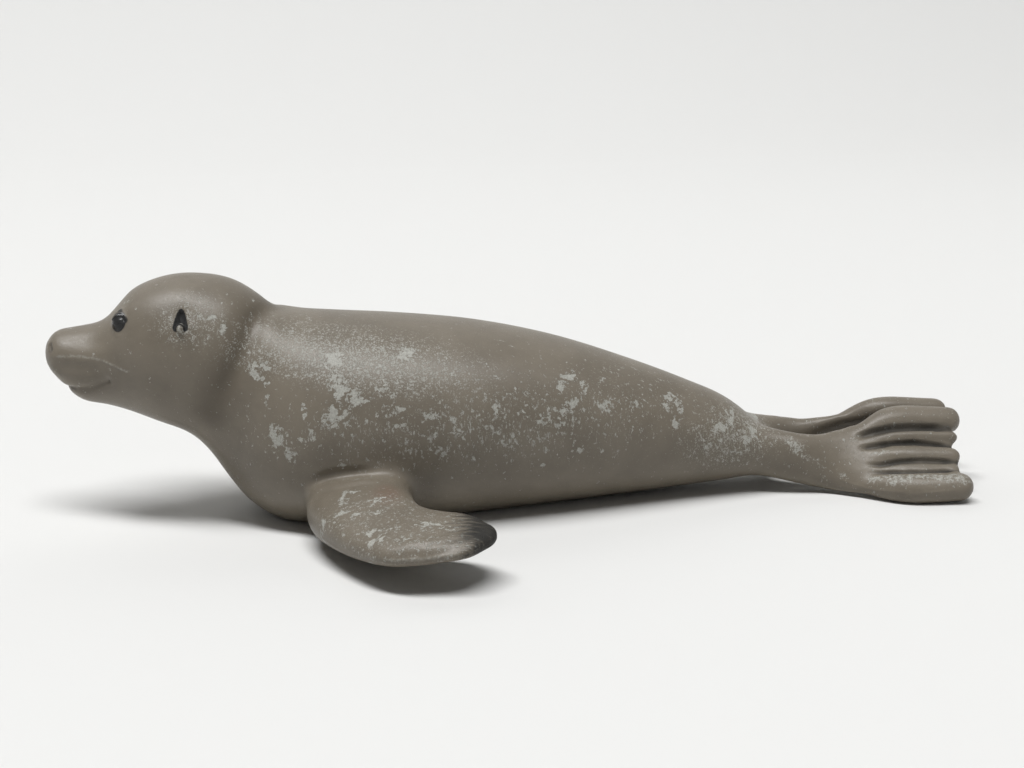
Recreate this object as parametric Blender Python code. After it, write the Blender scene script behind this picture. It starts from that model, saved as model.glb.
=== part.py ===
# A seal figurine, moulded in one piece of soft vinyl. Its head is towards -X, its tail towards +X,
# and its belly lies flat on the ground at z = 0. It is the same on both sides of the plane y = 0.
# Every shape is a loft through ribs. The lofts overlap, and a remesh fuses them into one skin with
# soft fillets. The face is pressed into that skin, which is then thinned to a few thousand triangles.

from collections import namedtuple
from math import cos, pi, sin

import bmesh
import bpy
import numpy as np
from mathutils import Matrix

MM = 0.001

# Sizes and places are in millimetres. x is counted from the nose towards the tail, and z from the
# ground. Places with a y are on the left side, where y is negative.

# Lengths, one after the other, from the nose to the ends of the hind flippers
MUZZLE_LENGTH = 10.6
SKULL_LENGTH = 16.2
NECK_LENGTH = 15.6
TRUNK_LENGTH = 55.0
ANKLE_LENGTH = 25.0
FAN_LENGTH = 16.9

# Where each of them starts
SKULL_START = MUZZLE_LENGTH
NECK_START = SKULL_START + SKULL_LENGTH
TRUNK_START = NECK_START + NECK_LENGTH
ANKLE_START = TRUNK_START + TRUNK_LENGTH
FAN_START = ANKLE_START + ANKLE_LENGTH

# Widths and heights of the body, and how deep the round of its chest is cut flat
MUZZLE_WIDTH = 11.8
HEAD_WIDTH = 21.2
CHEST_WIDTH = 34.4
RUMP_WIDTH = 17.8
CROWN_HEIGHT = 37.5
SHOULDER_HEIGHT = 30.8
RUMP_HEIGHT = 17.4
BELLY_CUT = 2.2

# A fore flipper: how far it runs out from its root, and back, and its own width and thickness
ARM_REACH = 25.2
ARM_SWEEP = 16.6
ARM_WIDTH = 15.0
ARM_THICKNESS = 8.4
ARM_HEIGHT = 5.4
ARM_X = TRUNK_START + 2.5
ARM_ROOT_Y = 0.35 * CHEST_WIDTH

# A hind flipper: how far it spreads, the height of its ankle, and its thickness
FAN_SPREAD = 13.0
ANKLE_HEIGHT = 9.5
ANKLE_THICKNESS = 5.4
WEB_THICKNESS = 1.8
FAN_INNER_Y = -1.9

# Ribs of the body: a point on the back (x, z), the point below it on the belly (x, z), half width
MUZZLE_TIP = ((0.0, CROWN_HEIGHT - 9.3), (0.0, CROWN_HEIGHT - 13.3), 0.22 * MUZZLE_WIDTH)
NOSE = ((0.1 * MUZZLE_LENGTH, CROWN_HEIGHT - 8.0), (0.12 * MUZZLE_LENGTH, CROWN_HEIGHT - 15.1),
        0.35 * MUZZLE_WIDTH)
MUZZLE = ((0.4 * MUZZLE_LENGTH, CROWN_HEIGHT - 7.4), (0.41 * MUZZLE_LENGTH, CROWN_HEIGHT - 18.5),
          0.42 * MUZZLE_WIDTH)
MUZZLE_ROOT = ((0.78 * MUZZLE_LENGTH, CROWN_HEIGHT - 6.6), (0.76 * MUZZLE_LENGTH, CROWN_HEIGHT - 19.4),
               0.5 * MUZZLE_WIDTH)
STOP = ((SKULL_START, CROWN_HEIGHT - 4.4), (SKULL_START + 0.05 * SKULL_LENGTH, CROWN_HEIGHT - 20.5),
        0.35 * HEAD_WIDTH)
FOREHEAD = ((SKULL_START + 0.17 * SKULL_LENGTH, CROWN_HEIGHT - 1.8),
            (SKULL_START + 0.32 * SKULL_LENGTH, CROWN_HEIGHT - 22.4), 0.44 * HEAD_WIDTH)
CROWN = ((SKULL_START + 0.54 * SKULL_LENGTH, CROWN_HEIGHT),
         (SKULL_START + 0.58 * SKULL_LENGTH, CROWN_HEIGHT - 24.2), 0.5 * HEAD_WIDTH)
NAPE = ((NECK_START, CROWN_HEIGHT - 0.8), (SKULL_START + 0.75 * SKULL_LENGTH, CROWN_HEIGHT - 27.1),
        0.51 * HEAD_WIDTH)
NECK = ((NECK_START + 0.385 * NECK_LENGTH, SHOULDER_HEIGHT + 2.2), (NECK_START - 1.0, 5.4),
        0.53 * HEAD_WIDTH)
COLLAR = ((NECK_START + 0.56 * NECK_LENGTH, SHOULDER_HEIGHT + 0.9),
          (NECK_START + 0.1 * NECK_LENGTH, 2.2), 0.395 * CHEST_WIDTH)
SHOULDER = ((TRUNK_START, SHOULDER_HEIGHT), (NECK_START + 0.49 * NECK_LENGTH, 0.8 - BELLY_CUT),
            0.477 * CHEST_WIDTH)
CHEST = ((TRUNK_START + 0.164 * TRUNK_LENGTH, SHOULDER_HEIGHT - 0.8),
         (TRUNK_START + 0.055 * TRUNK_LENGTH, -BELLY_CUT), 0.5 * CHEST_WIDTH)
LOIN = ((TRUNK_START + 0.4 * TRUNK_LENGTH, SHOULDER_HEIGHT - 2.5),
        (TRUNK_START + 0.36 * TRUNK_LENGTH, 0.7 - BELLY_CUT), 0.47 * CHEST_WIDTH)
FLANK = ((TRUNK_START + 0.62 * TRUNK_LENGTH, RUMP_HEIGHT + 8.0),
         (TRUNK_START + 0.6 * TRUNK_LENGTH, 1.6 - BELLY_CUT), 0.407 * CHEST_WIDTH)
HIP = ((TRUNK_START + 0.83 * TRUNK_LENGTH, RUMP_HEIGHT + 3.9),
       (TRUNK_START + 0.82 * TRUNK_LENGTH, 2.3 - BELLY_CUT), 0.63 * RUMP_WIDTH)
RUMP = ((ANKLE_START, RUMP_HEIGHT), (ANKLE_START, 3.0 - BELLY_CUT), 0.5 * RUMP_WIDTH)
TAIL_STOCK = ((ANKLE_START + 0.28 * ANKLE_LENGTH, RUMP_HEIGHT - 3.5),
              (ANKLE_START + 0.28 * ANKLE_LENGTH, 1.4), 0.43 * RUMP_WIDTH)
TAIL_END = ((ANKLE_START + 0.52 * ANKLE_LENGTH, RUMP_HEIGHT - 9.0),
            (ANKLE_START + 0.52 * ANKLE_LENGTH, 3.2), 0.36 * RUMP_WIDTH)
BODY_RIBS = (MUZZLE_TIP, NOSE, MUZZLE, MUZZLE_ROOT, STOP, FOREHEAD, CROWN, NAPE, NECK, COLLAR,
             SHOULDER, CHEST, LOIN, FLANK, HIP, RUMP, TAIL_STOCK, TAIL_END)
BODY_POWER = 2.1
BODY_DOMES = (0.5, 2.0)

# Ribs of the upper lip, which stands proud of the muzzle and overhangs the mouth
LIP_FRONT = ((0.05 * MUZZLE_LENGTH, CROWN_HEIGHT - 9.9), (0.06 * MUZZLE_LENGTH, CROWN_HEIGHT - 14.2),
             0.3 * MUZZLE_WIDTH)
LIP = ((0.31 * MUZZLE_LENGTH, CROWN_HEIGHT - 9.1), (0.3 * MUZZLE_LENGTH, CROWN_HEIGHT - 15.7),
       0.42 * MUZZLE_WIDTH)
CHEEK = ((0.61 * MUZZLE_LENGTH, CROWN_HEIGHT - 9.1), (0.59 * MUZZLE_LENGTH, CROWN_HEIGHT - 15.6),
         0.48 * MUZZLE_WIDTH)
LIP_CORNER = ((0.85 * MUZZLE_LENGTH, CROWN_HEIGHT - 9.5), (0.83 * MUZZLE_LENGTH, CROWN_HEIGHT - 14.3),
              0.5 * MUZZLE_WIDTH)
LIP_RIBS = (LIP_FRONT, LIP, CHEEK, LIP_CORNER)
LIP_POWER = 2.5
LIP_DOMES = (0.4, 1.5)


# A fore flipper's rib: how far out and back its middle lies, as shares of the reach and the sweep, its
# height, its width as a share (x, y, z) of the flipper's, its thickness as a share, and its run (x, y)
def arm_rib(out, back, height, width, thickness, run):
    middle = np.array((ARM_X + back * ARM_SWEEP, -ARM_ROOT_Y - out * ARM_REACH, height))
    half = np.array(width) * ARM_WIDTH / 2
    return tuple(middle - half), tuple(middle + half), thickness * ARM_THICKNESS, run


ARM_SOCKET = arm_rib(0.0, 0.0, ARM_HEIGHT + 0.1, (0.95, 0.0, 0.09), 1.02, (0.0, -1.0))
ARM = arm_rib(0.25, 0.01, ARM_HEIGHT, (1.02, -0.03, 0.15), 1.0, (0.0, -1.0))
ELBOW = arm_rib(0.51, 0.08, ARM_HEIGHT + 0.2, (0.94, 0.06, 0.18), 0.81, (0.2, -1.0))
WRIST = arm_rib(0.725, 0.24, ARM_HEIGHT + 0.3, (0.74, 0.44, 0.17), 0.62, (0.6, -1.0))
PALM = arm_rib(0.88, 0.46, ARM_HEIGHT + 0.6, (0.55, 0.76, 0.13), 0.5, (1.0, -0.7))
PADDLE = arm_rib(0.935, 0.72, ARM_HEIGHT + 0.9, (0.3, 0.79, 0.1), 0.41, (1.0, -0.3))
FINGERS = arm_rib(0.96, 0.9, ARM_HEIGHT + 1.0, (0.12, 0.66, 0.06), 0.35, (1.0, 0.0))
FORE_TIP = arm_rib(0.955, 1.0, ARM_HEIGHT + 1.0, (0.04, 0.38, 0.03), 0.27, (1.0, 0.0))
FORE_RIBS = (ARM_SOCKET, ARM, ELBOW, WRIST, PALM, PADDLE, FINGERS, FORE_TIP)
FORE_POWER = 2.5
FORE_DOMES = (3.0, 1.5)

# Ribs of a hind flipper: upper edge (x, y, z), lower edge (x, y, z), thickness, way it runs (x, y)
THIGH = ((ANKLE_START + 0.08 * ANKLE_LENGTH, -2.2, ANKLE_HEIGHT + 3.2),
         (ANKLE_START + 0.08 * ANKLE_LENGTH, -2.8, 3.0), ANKLE_THICKNESS, (1.0, -0.1))
HEEL = ((ANKLE_START + 0.46 * ANKLE_LENGTH, -4.1, ANKLE_HEIGHT + 1.2),
        (ANKLE_START + 0.46 * ANKLE_LENGTH, -4.2, 2.0), ANKLE_THICKNESS, (1.0, -0.2))
ANKLE = ((ANKLE_START + 0.66 * ANKLE_LENGTH, -5.2, ANKLE_HEIGHT),
         (ANKLE_START + 0.66 * ANKLE_LENGTH, -5.2, 1.0), ANKLE_THICKNESS - 0.2, (1.0, -0.1))
INSTEP = ((ANKLE_START + 0.82 * ANKLE_LENGTH, FAN_INNER_Y - 2.2, ANKLE_HEIGHT - 0.6),
          (ANKLE_START + 0.82 * ANKLE_LENGTH, FAN_INNER_Y - 0.4 * FAN_SPREAD, 0.4),
          ANKLE_THICKNESS - 1.0, (1.0, 0.0))
SOLE = ((FAN_START, FAN_INNER_Y - 1.0, ANKLE_HEIGHT),
        (FAN_START - 0.5, FAN_INNER_Y - 0.67 * FAN_SPREAD, 0.5), WEB_THICKNESS + 1.2, (1.0, 0.0))
WEB = ((FAN_START + 0.36 * FAN_LENGTH, FAN_INNER_Y, ANKLE_HEIGHT + 1.1),
       (FAN_START + 0.33 * FAN_LENGTH, FAN_INNER_Y - 0.93 * FAN_SPREAD, 1.2), WEB_THICKNESS + 0.2, (1.0, 0.0))
WEB_END = ((FAN_START + 0.95 * FAN_LENGTH, FAN_INNER_Y, ANKLE_HEIGHT + 0.4),
           (FAN_START + 0.84 * FAN_LENGTH, FAN_INNER_Y - FAN_SPREAD, 1.8), WEB_THICKNESS - 0.4, (1.0, 0.0))
HIND_RIBS = (THIGH, HEEL, ANKLE, INSTEP, SOLE, WEB, WEB_END)
HIND_POWER = 2.3
HIND_DOMES = (3.0, 0.6)

# Digits of a hind flipper, from the upper to the lower: how far down the ribs SOLE, WEB and WEB_END they
# lie, as shares, how far they reach past the web, half width, half thickness, lift above the web
DIGITS = (
    ((0.22, 0.1, 0.075), 0.6, 2.3, 2.0, 0.4),
    ((0.34, 0.32, 0.33), 0.3, 1.0, 1.2, 0.6),
    ((0.52, 0.54, 0.58), -0.3, 1.5, 1.4, 0.5),
    ((0.70, 0.72, 0.75), -0.4, 1.1, 1.0, 0.3),
    ((0.86, 0.93, 0.97), -0.1, 2.3, 2.1, 0.3),
)
DIGIT_SWELL = (0.5, 1.0, 1.0)

# Eye and ear flap: centre (x, y, z) and radii along x, y and z
EYE = ((SKULL_START + 0.9, -0.238 * HEAD_WIDTH, CROWN_HEIGHT - 5.9), (1.25, 1.4, 1.75))
EAR_FLAP = ((SKULL_START + 9.9, -0.445 * HEAD_WIDTH, CROWN_HEIGHT - 6.9), (0.9, 1.0, 1.2))

# Pressed features: points along a path (x, y, z), reach to each side, depth (a ridge where negative)
MOUTH = (((0.156 * MUZZLE_LENGTH, 0.0, CROWN_HEIGHT - 15.6),
          (0.25 * MUZZLE_LENGTH, -0.2 * MUZZLE_WIDTH, CROWN_HEIGHT - 16.0),
          (0.39 * MUZZLE_LENGTH, -0.33 * MUZZLE_WIDTH, CROWN_HEIGHT - 16.2),
          (0.6 * MUZZLE_LENGTH, -0.42 * MUZZLE_WIDTH, CROWN_HEIGHT - 15.7),
          (0.78 * MUZZLE_LENGTH, -0.48 * MUZZLE_WIDTH, CROWN_HEIGHT - 14.8),
          (0.87 * MUZZLE_LENGTH, -0.53 * MUZZLE_WIDTH, CROWN_HEIGHT - 14.3)), 0.85, 0.5)
NOSTRIL = (((0.04 * MUZZLE_LENGTH, -0.14 * MUZZLE_WIDTH, CROWN_HEIGHT - 10.1),
            (0.08 * MUZZLE_LENGTH, -0.2 * MUZZLE_WIDTH, CROWN_HEIGHT - 10.5)), 0.7, 0.4)
EYE_SOCKET = (((SKULL_START + 0.7, -0.255 * HEAD_WIDTH, CROWN_HEIGHT - 6.1),
               (SKULL_START + 0.9, -0.245 * HEAD_WIDTH, CROWN_HEIGHT - 5.3)), 2.4, 0.8)
BROW = (((SKULL_START + 0.4, -0.2 * HEAD_WIDTH, CROWN_HEIGHT - 3.8),
         (SKULL_START + 2.2, -0.264 * HEAD_WIDTH, CROWN_HEIGHT - 3.9)), 1.2, -0.35)
EAR_HOLLOW = (((SKULL_START + 10.3, -0.4 * HEAD_WIDTH, CROWN_HEIGHT - 4.3),
               (SKULL_START + 9.9, -0.475 * HEAD_WIDTH, CROWN_HEIGHT - 6.7)), 1.6, 0.8)
NECK_FOLD = (((NECK_START + 7.3, 0.0, SHOULDER_HEIGHT + 1.4),
              (NECK_START + 4.1, -0.32 * HEAD_WIDTH, SHOULDER_HEIGHT + 0.2),
              (NECK_START + 3.0, -0.43 * HEAD_WIDTH, SHOULDER_HEIGHT - 2.8),
              (NECK_START + 0.9, -0.5 * HEAD_WIDTH, SHOULDER_HEIGHT - 6.6),
              (NECK_START - 0.3, -0.51 * HEAD_WIDTH, SHOULDER_HEIGHT - 9.1),
              (NECK_START - 1.4, -0.49 * HEAD_WIDTH, SHOULDER_HEIGHT - 12.5),
              (NECK_START - 1.9, -0.43 * HEAD_WIDTH, SHOULDER_HEIGHT - 16.6)), 3.2, 0.4)

# Where the hind flippers leave the body, the skin is smoothed once more: from x, to x
ANKLE_BLEND = (ANKLE_START + 0.15 * ANKLE_LENGTH, ANKLE_START + 0.6 * ANKLE_LENGTH)

# The skin: remesh grain, rounds of smoothing all over, at the ankles and after the fine shapes, triangles
VOXEL = 0.5
FILLET_ROUNDS = 8
BLEND_ROUNDS = 40
FINE_ROUNDS = 2
TRIANGLES = 11700

# Loft resolution
SIDES = 48
STEPS_PER_RIB = 8
DOME_STEPS = 6

Rib = namedtuple("Rib", "centre up side power")


def body_rib(rib, power):
    (back_x, back_z), (belly_x, belly_z), half_width = rib
    back = np.array((back_x, 0.0, back_z))
    belly = np.array((belly_x, 0.0, belly_z))
    return Rib((back + belly) / 2, (back - belly) / 2, np.array((0.0, half_width, 0.0)), power)


# A flipper's rib runs from edge to edge, and its thickness is square to that line and to the run.
def flipper_rib(rib, power):
    edge, other_edge, thickness, run = rib
    across = (np.array(edge) - np.array(other_edge)) / 2
    normal = np.cross(across, (*run, 0.0))
    normal *= thickness / 2 / np.linalg.norm(normal)
    return Rib((np.array(edge) + np.array(other_edge)) / 2, normal, across, power)


# A digit lies across a rib of its flipper, at a share of the way down it, and a little above it.
def digit_rib(rib, share, past, half_width, half_thickness, lift):
    edge, other_edge, _, run = rib
    down = np.array(other_edge) - np.array(edge)
    out = np.cross(down, (*run, 0.0))
    out /= np.linalg.norm(out)
    centre = np.array(edge) + share * down + lift * out + (past, 0.0, 0.0)
    return Rib(centre, half_thickness * out, half_width * down / np.linalg.norm(down), 2.0)


def mirrored(rib):
    flip = np.array((1.0, -1.0, 1.0))
    return Rib(rib.centre * flip, rib.up * flip, rib.side * flip, rib.power)


# A Catmull-Rom curve through four rows of numbers, at t between the second and the third
def catmull_rom(rows, knots, t):
    level = list(rows)
    for reach in (1, 2):
        level = [((knots[i + reach] - t) * level[i] + (t - knots[i]) * level[i + 1])
                 / (knots[i + reach] - knots[i]) for i in range(len(level) - 1)]
    return ((knots[2] - t) * level[0] + (t - knots[1]) * level[1]) / (knots[2] - knots[1])


# Every station of a loft lies on one smooth curve through its ribs.
def stations(ribs):
    rows = [np.concatenate((rib.centre, rib.up, rib.side, (rib.power,))) for rib in ribs]
    rows = [2 * rows[0] - rows[1]] + rows + [2 * rows[-1] - rows[-2]]
    path = []
    for i in range(len(ribs) - 1):
        four = rows[i:i + 4]
        knots = [0.0]
        for start, end in zip(four, four[1:]):
            knots.append(knots[-1] + np.linalg.norm(end[:3] - start[:3]) ** 0.5)
        for step in range(STEPS_PER_RIB):
            path.append(catmull_rom(four, knots, knots[1] + (knots[2] - knots[1]) * step / STEPS_PER_RIB))
    return path + [rows[-2]]


# A superellipse round the rib's centre
def ring(row, scale=1.0, shift=0.0):
    centre, up, side, power = row[0:3], row[3:6], row[6:9], row[9]
    points = []
    for k in range(SIDES):
        c, s = cos(2 * pi * k / SIDES), sin(2 * pi * k / SIDES)
        c = np.sign(c) * abs(c) ** (2 / power)
        s = np.sign(s) * abs(s) ** (2 / power)
        points.append(centre + shift + scale * (c * up + s * side))
    return points


def dome(row, run, length):
    rings = []
    for step in range(1, DOME_STEPS + 1):
        angle = pi / 2 * step / (DOME_STEPS + 1)
        rings.append(ring(row, cos(angle), run / np.linalg.norm(run) * length * sin(angle)))
    return rings


def loft(bm, ribs, start_dome, end_dome):
    path = stations(ribs)
    start = dome(path[0], path[0][:3] - path[1][:3], start_dome)
    end = dome(path[-1], path[-1][:3] - path[-2][:3], end_dome)
    rings = start[::-1] + [ring(row) for row in path] + end
    loops = [[bm.verts.new(point) for point in points] for points in rings]
    for loop, following in zip(loops, loops[1:]):
        for k in range(SIDES):
            bm.faces.new((loop[k], loop[k - 1], following[k - 1], following[k]))
    bm.faces.new(loops[0])
    bm.faces.new(reversed(loops[-1]))


def loft_both_sides(bm, ribs, start_dome, end_dome):
    loft(bm, ribs, start_dome, end_dome)
    loft(bm, [mirrored(rib) for rib in ribs], start_dome, end_dome)


def body(bm):
    loft(bm, [body_rib(rib, BODY_POWER) for rib in BODY_RIBS], *BODY_DOMES)
    loft(bm, [body_rib(rib, LIP_POWER) for rib in LIP_RIBS], *LIP_DOMES)


def fore_flippers(bm):
    loft_both_sides(bm, [flipper_rib(rib, FORE_POWER) for rib in FORE_RIBS], *FORE_DOMES)


def hind_flippers(bm):
    loft_both_sides(bm, [flipper_rib(rib, HIND_POWER) for rib in HIND_RIBS], *HIND_DOMES)


def digits(bm):
    for shares, past, half_width, half_thickness, lift in DIGITS:
        ribs = [digit_rib(rib, share, past * along, half_width * swell, half_thickness * swell, lift * swell)
                for rib, share, along, swell in zip((SOLE, WEB, WEB_END), shares, (0.0, 0.0, 1.0), DIGIT_SWELL)]
        loft_both_sides(bm, ribs, half_thickness, half_thickness)


def balls(bm):
    for centre, radii in (EYE, EAR_FLAP):
        for side in (1, -1):
            place = Matrix.Translation((centre[0], centre[1] * side, centre[2]))
            bmesh.ops.create_uvsphere(bm, u_segments=24, v_segments=16, radius=1.0,
                                      matrix=place @ Matrix.Diagonal((*radii, 1.0)))


# Adds the shapes that the makers build to the part's mesh.
def add_shapes(part, makers):
    bm = bmesh.new()
    for make in makers:
        make(bm)
    bmesh.ops.recalc_face_normals(bm, faces=bm.faces[:])
    bmesh.ops.scale(bm, verts=bm.verts[:], vec=(MM, MM, MM))
    bm.from_mesh(part.data)
    bm.to_mesh(part.data)
    bm.free()


def apply_modifiers(part):
    bpy.context.view_layer.update()
    graph = bpy.context.evaluated_depsgraph_get()
    mesh = bpy.data.meshes.new_from_object(part.evaluated_get(graph))
    part.modifiers.clear()
    part.data = mesh


# Overlapping shapes become one skin, and the smoothing rounds the creases between them.
def fuse(part, rounds):
    remesh = part.modifiers.new("one skin", "REMESH")
    remesh.mode = "VOXEL"
    remesh.voxel_size = VOXEL * MM
    smooth = part.modifiers.new("fillets", "SMOOTH")
    smooth.factor = 0.5
    smooth.iterations = round(rounds)
    apply_modifiers(part)


# Smooths the skin between two places along the seal, and less towards them.
def blend(part, start, end, rounds):
    group = part.vertex_groups.new(name="blend")
    for vert in part.data.vertices:
        share = (vert.co.x / MM - start) / (end - start)
        if 0 < share < 1:
            group.add((vert.index,), min(1.0, 4 * share * (1 - share)), "REPLACE")
    smooth = part.modifiers.new("blend", "SMOOTH")
    smooth.factor = 0.5
    smooth.iterations = round(rounds)
    smooth.vertex_group = group.name
    apply_modifiers(part)
    part.vertex_groups.clear()


def read(part, name):
    values = np.empty(3 * len(part.data.vertices))
    part.data.vertices.foreach_get(name, values)
    return values.reshape(-1, 3)


def distance_to_path(places, path):
    nearest = np.full(len(places), np.inf)
    for start, end in zip(path, path[1:]):
        run = end - start
        along = np.clip((places - start) @ run / (run @ run), 0, 1)
        nearest = np.minimum(nearest, np.linalg.norm(places - start - along[:, None] * run, axis=1))
    return nearest


# Pushes the skin in along a path on both sides of the seal.
def press(part, path, reach, depth):
    places = read(part, "co") / MM
    normals = read(part, "normal")
    away = np.minimum(distance_to_path(places, np.array(path)),
                      distance_to_path(places, np.array(path) * (1, -1, 1)))
    push = depth * np.clip(1 - (away / reach) ** 2, 0, 1) ** 2
    part.data.vertices.foreach_set("co", ((places - normals * push[:, None]) * MM).ravel())
    part.data.update()


def thin(part):
    triangles = sum(len(polygon.vertices) - 2 for polygon in part.data.polygons)
    decimate = part.modifiers.new("thin", "DECIMATE")
    decimate.ratio = min(1.0, TRIANGLES / triangles)
    apply_modifiers(part)


# Cuts the belly flat at z = 0, and centres the seal on x = 0.
def settle(part):
    bm = bmesh.new()
    bm.from_mesh(part.data)
    cut = bmesh.ops.bisect_plane(bm, geom=bm.verts[:] + bm.edges[:] + bm.faces[:], dist=1e-6,
                                 plane_co=(0, 0, 0), plane_no=(0, 0, -1), clear_outer=True)
    rim = [item for item in cut["geom_cut"] if isinstance(item, bmesh.types.BMEdge)]
    bmesh.ops.holes_fill(bm, edges=rim, sides=0)
    bmesh.ops.triangulate(bm, faces=bm.faces[:])
    bmesh.ops.recalc_face_normals(bm, faces=bm.faces[:])
    along = [vert.co.x for vert in bm.verts]
    bmesh.ops.translate(bm, verts=bm.verts[:], vec=(-(min(along) + max(along)) / 2, 0, 0))
    bm.to_mesh(part.data)
    bm.free()


def painted_vinyl():
    material = bpy.data.materials.new("painted_vinyl")
    material.use_nodes = True
    shader = material.node_tree.nodes["Principled BSDF"]
    shader.inputs["Base Color"].default_value = (0.16, 0.13, 0.10, 1.0)
    shader.inputs["Roughness"].default_value = 0.45
    shader.inputs["Metallic"].default_value = 0.0
    return material


def seal():
    part = bpy.data.objects.new("seal_figurine", bpy.data.meshes.new("seal_figurine"))
    bpy.context.collection.objects.link(part)
    add_shapes(part, (body, fore_flippers, hind_flippers))
    fuse(part, FILLET_ROUNDS)
    blend(part, *ANKLE_BLEND, BLEND_ROUNDS)
    for path, reach, depth in (EYE_SOCKET, BROW, EAR_HOLLOW, NECK_FOLD):
        press(part, path, reach, depth)
    add_shapes(part, (digits, balls))
    fuse(part, FINE_ROUNDS)
    for path, reach, depth in (MOUTH, NOSTRIL):
        press(part, path, reach, depth)
    thin(part)
    settle(part)
    part.data.materials.append(painted_vinyl())
    part.data.shade_smooth()


for old in list(bpy.data.objects):
    bpy.data.objects.remove(old)
seal()
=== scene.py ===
from math import radians

import bpy
import numpy as np
from mathutils import Matrix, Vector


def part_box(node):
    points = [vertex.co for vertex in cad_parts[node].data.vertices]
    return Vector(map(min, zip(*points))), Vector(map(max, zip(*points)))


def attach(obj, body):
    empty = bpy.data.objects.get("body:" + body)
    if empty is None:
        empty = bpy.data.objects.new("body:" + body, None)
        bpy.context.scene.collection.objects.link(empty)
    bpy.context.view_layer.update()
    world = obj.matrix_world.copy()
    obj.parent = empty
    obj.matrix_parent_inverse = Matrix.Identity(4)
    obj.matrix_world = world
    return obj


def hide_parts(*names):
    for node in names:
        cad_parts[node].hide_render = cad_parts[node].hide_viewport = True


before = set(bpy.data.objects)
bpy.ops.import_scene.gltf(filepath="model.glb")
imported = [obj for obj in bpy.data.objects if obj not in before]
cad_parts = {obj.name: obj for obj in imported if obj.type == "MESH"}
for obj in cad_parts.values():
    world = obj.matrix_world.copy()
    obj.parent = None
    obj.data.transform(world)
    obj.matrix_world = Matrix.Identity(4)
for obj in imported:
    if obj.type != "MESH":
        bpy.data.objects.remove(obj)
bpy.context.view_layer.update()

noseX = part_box("seal_figurine")[0].x * 1000  # mm; places on the seal are counted back from here


def selectOnly(*pieces):
    if bpy.context.object and bpy.context.object.mode != "OBJECT":
        bpy.ops.object.mode_set(mode="OBJECT")
    bpy.ops.object.select_all(action="DESELECT")
    for piece in pieces:
        piece.select_set(True)
    bpy.context.view_layer.objects.active = pieces[0]


def applied(piece, kind, **settings):
    selectOnly(piece)
    modifier = piece.modifiers.new(kind, kind)
    for name, value in settings.items():
        setattr(modifier, name, value)
    bpy.ops.object.modifier_apply(modifier=modifier.name)


def values(piece, name):
    flat = np.empty(3 * len(piece.data.vertices))
    piece.data.vertices.foreach_get(name, flat)
    return flat.reshape(-1, 3)


def moveTo(piece, points):
    piece.data.vertices.foreach_set("co", (points / 1000).ravel())
    piece.data.update()


def behindNose(places):  # from (distance behind the nose, y, z) to the scene's own mm
    return np.array(places, float) + (noseX, 0, 0)


def toNearSide(points):  # both sides of the seal are folded onto the side where y is negative
    return points * (1, 0, 1) - np.abs(points) * (0, 1, 0)


def alongPath(points, path):  # distance from the path, and how far along it from 0 to 1
    nearest = np.full(len(points), np.inf)
    share = np.zeros(len(points))
    lengths = np.linalg.norm(np.diff(path, axis=0), axis=1)
    starts = np.concatenate(((0,), np.cumsum(lengths)))
    for k, (a, b) in enumerate(zip(path, path[1:])):
        run = b - a
        t = np.clip((points - a) @ run / (run @ run), 0, 1)
        away = np.linalg.norm(points - a - t[:, None] * run, axis=1)
        closer = away < nearest
        nearest[closer] = away[closer]
        share[closer] = (starts[k] + t[closer] * lengths[k]) / starts[-1]
    return nearest, share


def distanceTo(points, places):  # how far the points lie from a path behind the nose
    return alongPath(points, behindNose(places))[0]


def softSpot(ratio):  # 1 in the middle, 0 from a ratio of 1 outwards
    return np.clip(1 - ratio ** 2, 0, 1) ** 2


def rising(value, low, high):  # 0 up to low, 1 from high on, and a smooth slope between
    t = np.clip((value - low) / (high - low), 0, 1)
    return t * t * (3 - 2 * t)


# The skin of the seal: the solid's own form, remeshed finely, smoothed and sculpted
skinLook = {
    "mergeDistance": 0.001,          # mm
    "firstGrain": 0.45,              # mm
    "firstRounds": 10,
    "bodyRounds": 45,                # more smoothing where the body is plain
    "smoothing": 0.5,
    "swelling": -0.515,              # after each smoothing, so that the form keeps its size
    "grain": 0.2,                    # mm
    "lastRounds": 2,
    "triangles": 190000,
    "fanStart": (112.0, 120.0),      # mm behind the nose, where the hind flippers begin to spread
    "armStart": (17.0, 20.0),        # mm from the middle, where the fore flippers begin
    "armsEnd": 75.0,                 # mm behind the nose; the fore flippers lie in front of this
    "faceCentre": (8.0, -5.0, 28.0),
    "faceReach": (9.0, 13.0),        # mm
    "faceShare": 0.1,                # the face takes this much of the body's extra smoothing
}

# Balls set into the skin: centre (behind the nose, y, z) and radii along x, y and z, in mm
balls = {
    "eyeBall": ((12.2, -5.2, 31.3), (1.35, 1.45, 1.35)),
    "earLobe": ((21.05, -9.65, 31.05), (0.58, 0.8, 0.75)),
}

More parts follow.
